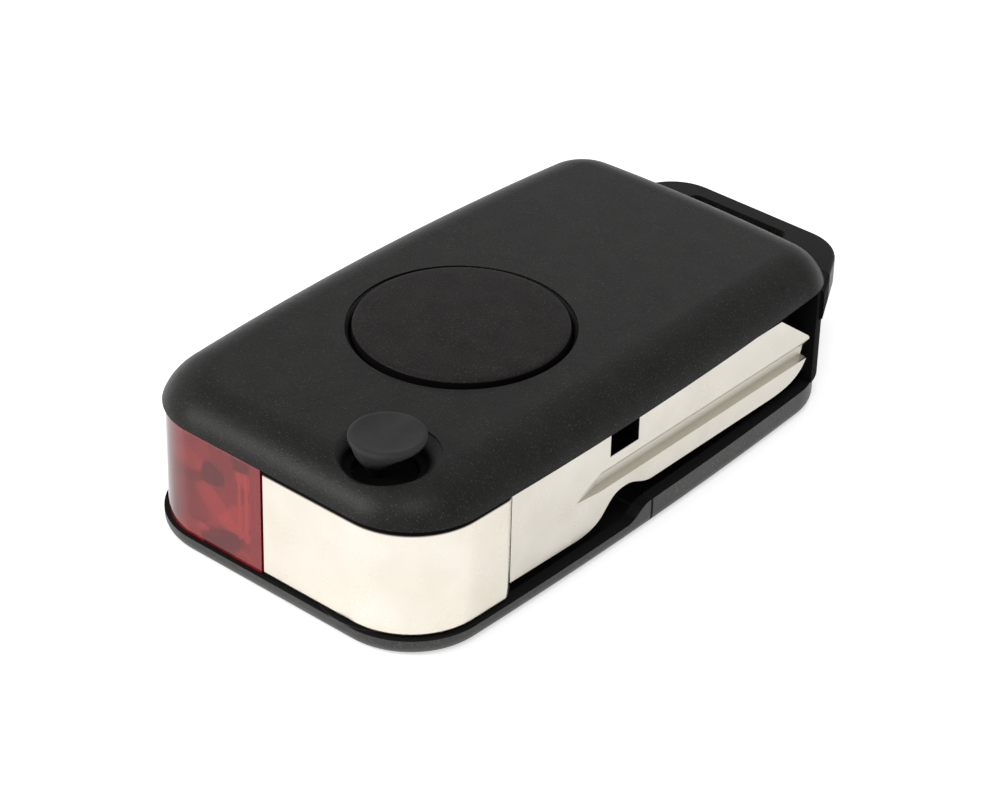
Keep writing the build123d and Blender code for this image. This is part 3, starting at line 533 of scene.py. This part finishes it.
def makeInsideFinish(look):
    material = newMaterial(look["name"], look["sockets"])
    if "varies" in look:
        addMottle(material, *look["varies"])
    return material


finishes = {"black_plastic": makePlastic("caseBlackPlastic", caseFinish),
            "cover_plastic": makeCoverPlastic(),
            "frame_plastic": makeFramePlastic(),
            "base_plastic": makeBasePlastic(),
            "button_plastic": makeButtonPlastic(),
            "release_plastic": makeReleasePlastic(),
            "satin_nickel": makeHeadNickel(),
            "blade_nickel": makeBladeNickel(),
            "red_window": makeWindowRed()}
for slot, look in insideFinishes.items():
    finishes[slot] = makeInsideFinish(look)

# the part's own slot of each node, and where it takes a finish other than its slot's
slotOf = {part["node"]: part["material_slot"] for part in frame["record"]["subparts"]}
finishOf = dict(slotOf, middle_frame="frame_plastic", upper_cover="cover_plastic",
                release_button="release_plastic", front_cover="base_plastic",
                battery_cover="base_plastic")
surface = {"sharpAngle": 28.0, "weldGap": 0.0000005}  # degrees and metres


def makeSmoothing():
    # modifier group: smooth faces, with edges over the limit kept crisp
    group = bpy.data.node_groups.new("smoothByAngle", "GeometryNodeTree")
    for way in ("INPUT", "OUTPUT"):
        group.interface.new_socket("Geometry", in_out=way, socket_type="NodeSocketGeometry")
    start = group.nodes.new("NodeGroupInput")
    end = group.nodes.new("NodeGroupOutput")
    faces = group.nodes.new("GeometryNodeSetShadeSmooth")
    edges = group.nodes.new("GeometryNodeSetShadeSmooth")
    edges.domain = "EDGE"
    edges.inputs["Shade Smooth"].default_value = False
    angle = group.nodes.new("GeometryNodeInputMeshEdgeAngle")
    sharp = group.nodes.new("FunctionNodeCompare")
    sharp.operation = "GREATER_THAN"
    sharp.inputs["B"].default_value = math.radians(surface["sharpAngle"])
    group.links.new(start.outputs[0], faces.inputs["Geometry"])
    group.links.new(faces.outputs[0], edges.inputs["Geometry"])
    group.links.new(angle.outputs["Unsigned Angle"], sharp.inputs["A"])
    group.links.new(sharp.outputs[0], edges.inputs["Selection"])
    group.links.new(edges.outputs[0], end.inputs[0])
    return group


smoothByAngle = makeSmoothing()


def dress(piece, nodeName):
    # the node's finish, and modifiers that weld and smooth what is drawn
    piece.data.materials.clear()
    piece.data.materials.append(finishes[finishOf[nodeName]])
    weld = piece.modifiers.new("weld", "WELD")
    weld.merge_threshold = surface["weldGap"]
    smoothing = piece.modifiers.new("smoothing", "NODES")
    smoothing.node_group = smoothByAngle
    even = piece.modifiers.new("evenNormals", "WEIGHTED_NORMAL")
    even.keep_sharp = True


for nodeName, cadNode in nodes.items():
    dress(cadNode, nodeName)
print("finishes on the nodes")

turnedSides = 96  # of every turned shape


def turnProfile(shape, centre, profile):
    # closed shape of revolution about an upright axis, from radii and heights in millimetres
    points = [shape.verts.new(((centre[0] + radius) / 1000, centre[1] / 1000, high / 1000))
              for radius, high in profile]
    edges = [shape.edges.new(pair) for pair in zip(points, points[1:])]
    bmesh.ops.spin(shape, geom=points + edges, cent=(centre[0] / 1000, centre[1] / 1000, 0.0),
                   axis=(0.0, 0.0, 1.0), dvec=(0.0, 0.0, 0.0), angle=math.tau,
                   steps=turnedSides, use_merge=True, use_duplicate=False)
    bmesh.ops.remove_doubles(shape, verts=shape.verts, dist=surface["weldGap"])


def addBlock(shape, centre, turn, low, high):
    # block from low to high in millimetres, turned about the upright axis through the centre
    middle = [(a + b) / 2000 for a, b in zip(low, high)]
    size = [(b - a) / 1000 for a, b in zip(low, high)]
    place = Matrix.Translation((centre[0] / 1000, centre[1] / 1000, 0.0))
    place @= Matrix.Rotation(math.radians(turn), 4, "Z") @ Matrix.Translation(middle)
    bmesh.ops.create_cube(shape, size=1.0, matrix=place @ Matrix.Diagonal((*size, 1.0)))


def finishPiece(name, shape, nodeName, body):
    # the drawn piece stands for the node, on its body and in its slot
    bmesh.ops.recalc_face_normals(shape, faces=shape.faces)
    piece = newObject(name, shape)
    dress(piece, nodeName)
    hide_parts(nodeName)
    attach(piece, body)
    return piece


def squashTo(piece):
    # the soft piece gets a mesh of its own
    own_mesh(piece)


# the drawn pieces are in millimetres, as in the part: a profile is radii and heights
mainButton = {"centre": (-0.2, -7.475), "ribReach": 8.6, "ribWide": 0.8, "ribHigh": (14.6, 15.4),
              "ribTurns": (30, 90, 150),
              "profile": [(0, 16.86), (3.2, 16.84), (6.0, 16.78), (8.0, 16.71), (9.1, 16.65),
                          (9.45, 16.62), (9.6, 16.57), (9.68, 16.50), (9.72, 16.40), (9.75, 16.1),
                          (9.75, 14.65), (10.75, 14.65), (10.75, 13.85), (8.45, 13.85),
                          (8.45, 15.3), (2.6, 15.3), (2.6, 13.85), (0, 13.85)]}


def makeMainButton():
    # domed disc that stands proud of the cover, with its flange, ribs and plunger
    look = mainButton
    shape = bmesh.new()
    turnProfile(shape, look["centre"], look["profile"])
    reach, half = look["ribReach"], look["ribWide"] / 2
    low, high = look["ribHigh"]
    for turn in look["ribTurns"]:
        addBlock(shape, look["centre"], turn, (-reach, -half, low), (reach, half, high))
    finishPiece("mainButtonDome", shape, "main_button", "button")


# the cap and its neck lean by a shift that eases from one height to the other
releaseCap = {"centre": (8.3, -26.575), "capShift": (0.12, 0.10), "neckShift": (-0.62, -0.47),
              "shiftFrom": 17.6, "shiftTo": 15.2, "shoulder": 13.95,
              "neckFoot": 13.85, "neckReach": 2.0,
              "profile": [(0, 17.70), (1.2, 17.71), (2.0, 17.75), (2.55, 17.84), (2.85, 17.95),
                          (3.02, 18.0), (3.2, 17.98), (3.33, 17.90), (3.38, 17.78), (3.36, 17.62),
                          (3.24, 17.36), (3.02, 17.05), (2.72, 16.70), (2.32, 16.25), (1.9, 15.78),
                          (1.5, 15.33), (1.22, 15.0), (1.02, 14.8), (0.85, 14.7), (0.8, 14.4),
                          (0.8, 13.9), (2.8, 13.9)],
              "stem": 2.8, "core": 3.75, "pocket": 2.15, "plungerHigh": 1.85, "pocketHigh": 1.45,
              "lugs": 4, "lugTurn": 45, "lugFrom": 3.0, "lugReach": 4.6, "lugWide": 1.5}


def leanAt(high):
    look = releaseCap
    share = (look["shiftFrom"] - high) / (look["shiftFrom"] - look["shiftTo"])
    share = min(max(share, 0.0), 1.0)
    share = share * share * (3 - 2 * share)
    return [a + (b - a) * share for a, b in zip(look["capShift"], look["neckShift"])]


def makeReleaseButton():
    # dished cap with a rolled lip, a skirt that leans down to the neck, and the grooved plunger
    look = releaseCap
    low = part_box("release_button")[0][2] * 1000
    top, pocketTop = low + look["plungerHigh"], low + look["pocketHigh"]
    plunger = [(look["stem"], top), (look["core"], top), (look["core"], low),
               (look["pocket"], low), (look["pocket"], pocketTop), (0, pocketTop)]
    shape = bmesh.new()
    turnProfile(shape, look["centre"], look["profile"] + plunger)
    for vert in shape.verts:
        high = vert.co.z * 1000
        reach = math.hypot(vert.co.x * 1000 - look["centre"][0],
                           vert.co.y * 1000 - look["centre"][1])
        onNeck = high > look["neckFoot"] and reach < look["neckReach"]
        if onNeck or high > look["shoulder"]:
            lean = leanAt(high)
            vert.co.x += lean[0] / 1000
            vert.co.y += lean[1] / 1000
    half = look["lugWide"] / 2
    for lug in range(look["lugs"]):
        addBlock(shape, look["centre"], look["lugTurn"] + lug * 360 / look["lugs"],
                 (look["lugFrom"], -half, low), (look["lugReach"], half, top))
    finishPiece("releaseCap", shape, "release_button", "release")


flipSpring = {"centre": (8.3, -26.575), "radius": 2.95, "wire": 0.8, "turns": 4.3, "closed": 0.4,
              "stepsPerTurn": 32, "sides": 10, "travel": 1.8}


def makeSpring():
    # compression coil with closed ends between the fixed cap and the plunger
    look = flipSpring
    low, high = (corner[2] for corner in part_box("flip_spring"))
    wire = look["wire"] / 2000
    axis = Vector((look["centre"][0] / 1000, look["centre"][1] / 1000, 0.0))
    place = Matrix.Translation(axis + Vector((look["radius"] / 1000, 0.0, low + wire)))
    place @= Matrix.Rotation(math.pi / 2, 4, "X") @ Matrix.Rotation(-math.pi / 2, 4, "Z")
    shape = bmesh.new()
    bmesh.ops.create_circle(shape, segments=look["sides"], radius=wire, matrix=place)
    ring = shape.verts[:] + shape.edges[:]
    climbing = look["turns"] - 2 * look["closed"]
    shares = [min(max((step / look["stepsPerTurn"] - look["closed"]) / climbing, 0.0), 1.0)
              for step in range(int(look["turns"] * look["stepsPerTurn"]) + 1)]
    for before, after in zip(shares, shares[1:]):
        climb = (high - low - 2 * wire) * (after - before)
        ring = bmesh.ops.spin(shape, geom=ring, cent=axis, axis=(0.0, 0.0, 1.0),
                              dvec=(0.0, 0.0, climb), angle=math.tau / look["stepsPerTurn"],
                              steps=1, use_merge=False, use_duplicate=False)["geom_last"]
    bmesh.ops.holes_fill(shape, edges=shape.edges, sides=0)
    piece = finishPiece("flipSpringCoil", shape, "flip_spring", "head")
    squashTo(piece)


def makeMat():
    # moulded rubber sheet with its dome, as the part has it
    shape = bmesh.new()
    shape.from_mesh(nodes["button_mat"].data)
    bmesh.ops.remove_doubles(shape, verts=shape.verts, dist=surface["weldGap"])
    piece = finishPiece("rubberMat", shape, "button_mat", "case")
    squashTo(piece)


makeMainButton()
makeReleaseButton()
makeSpring()
makeMat()
print("buttons, spring and mat drawn")
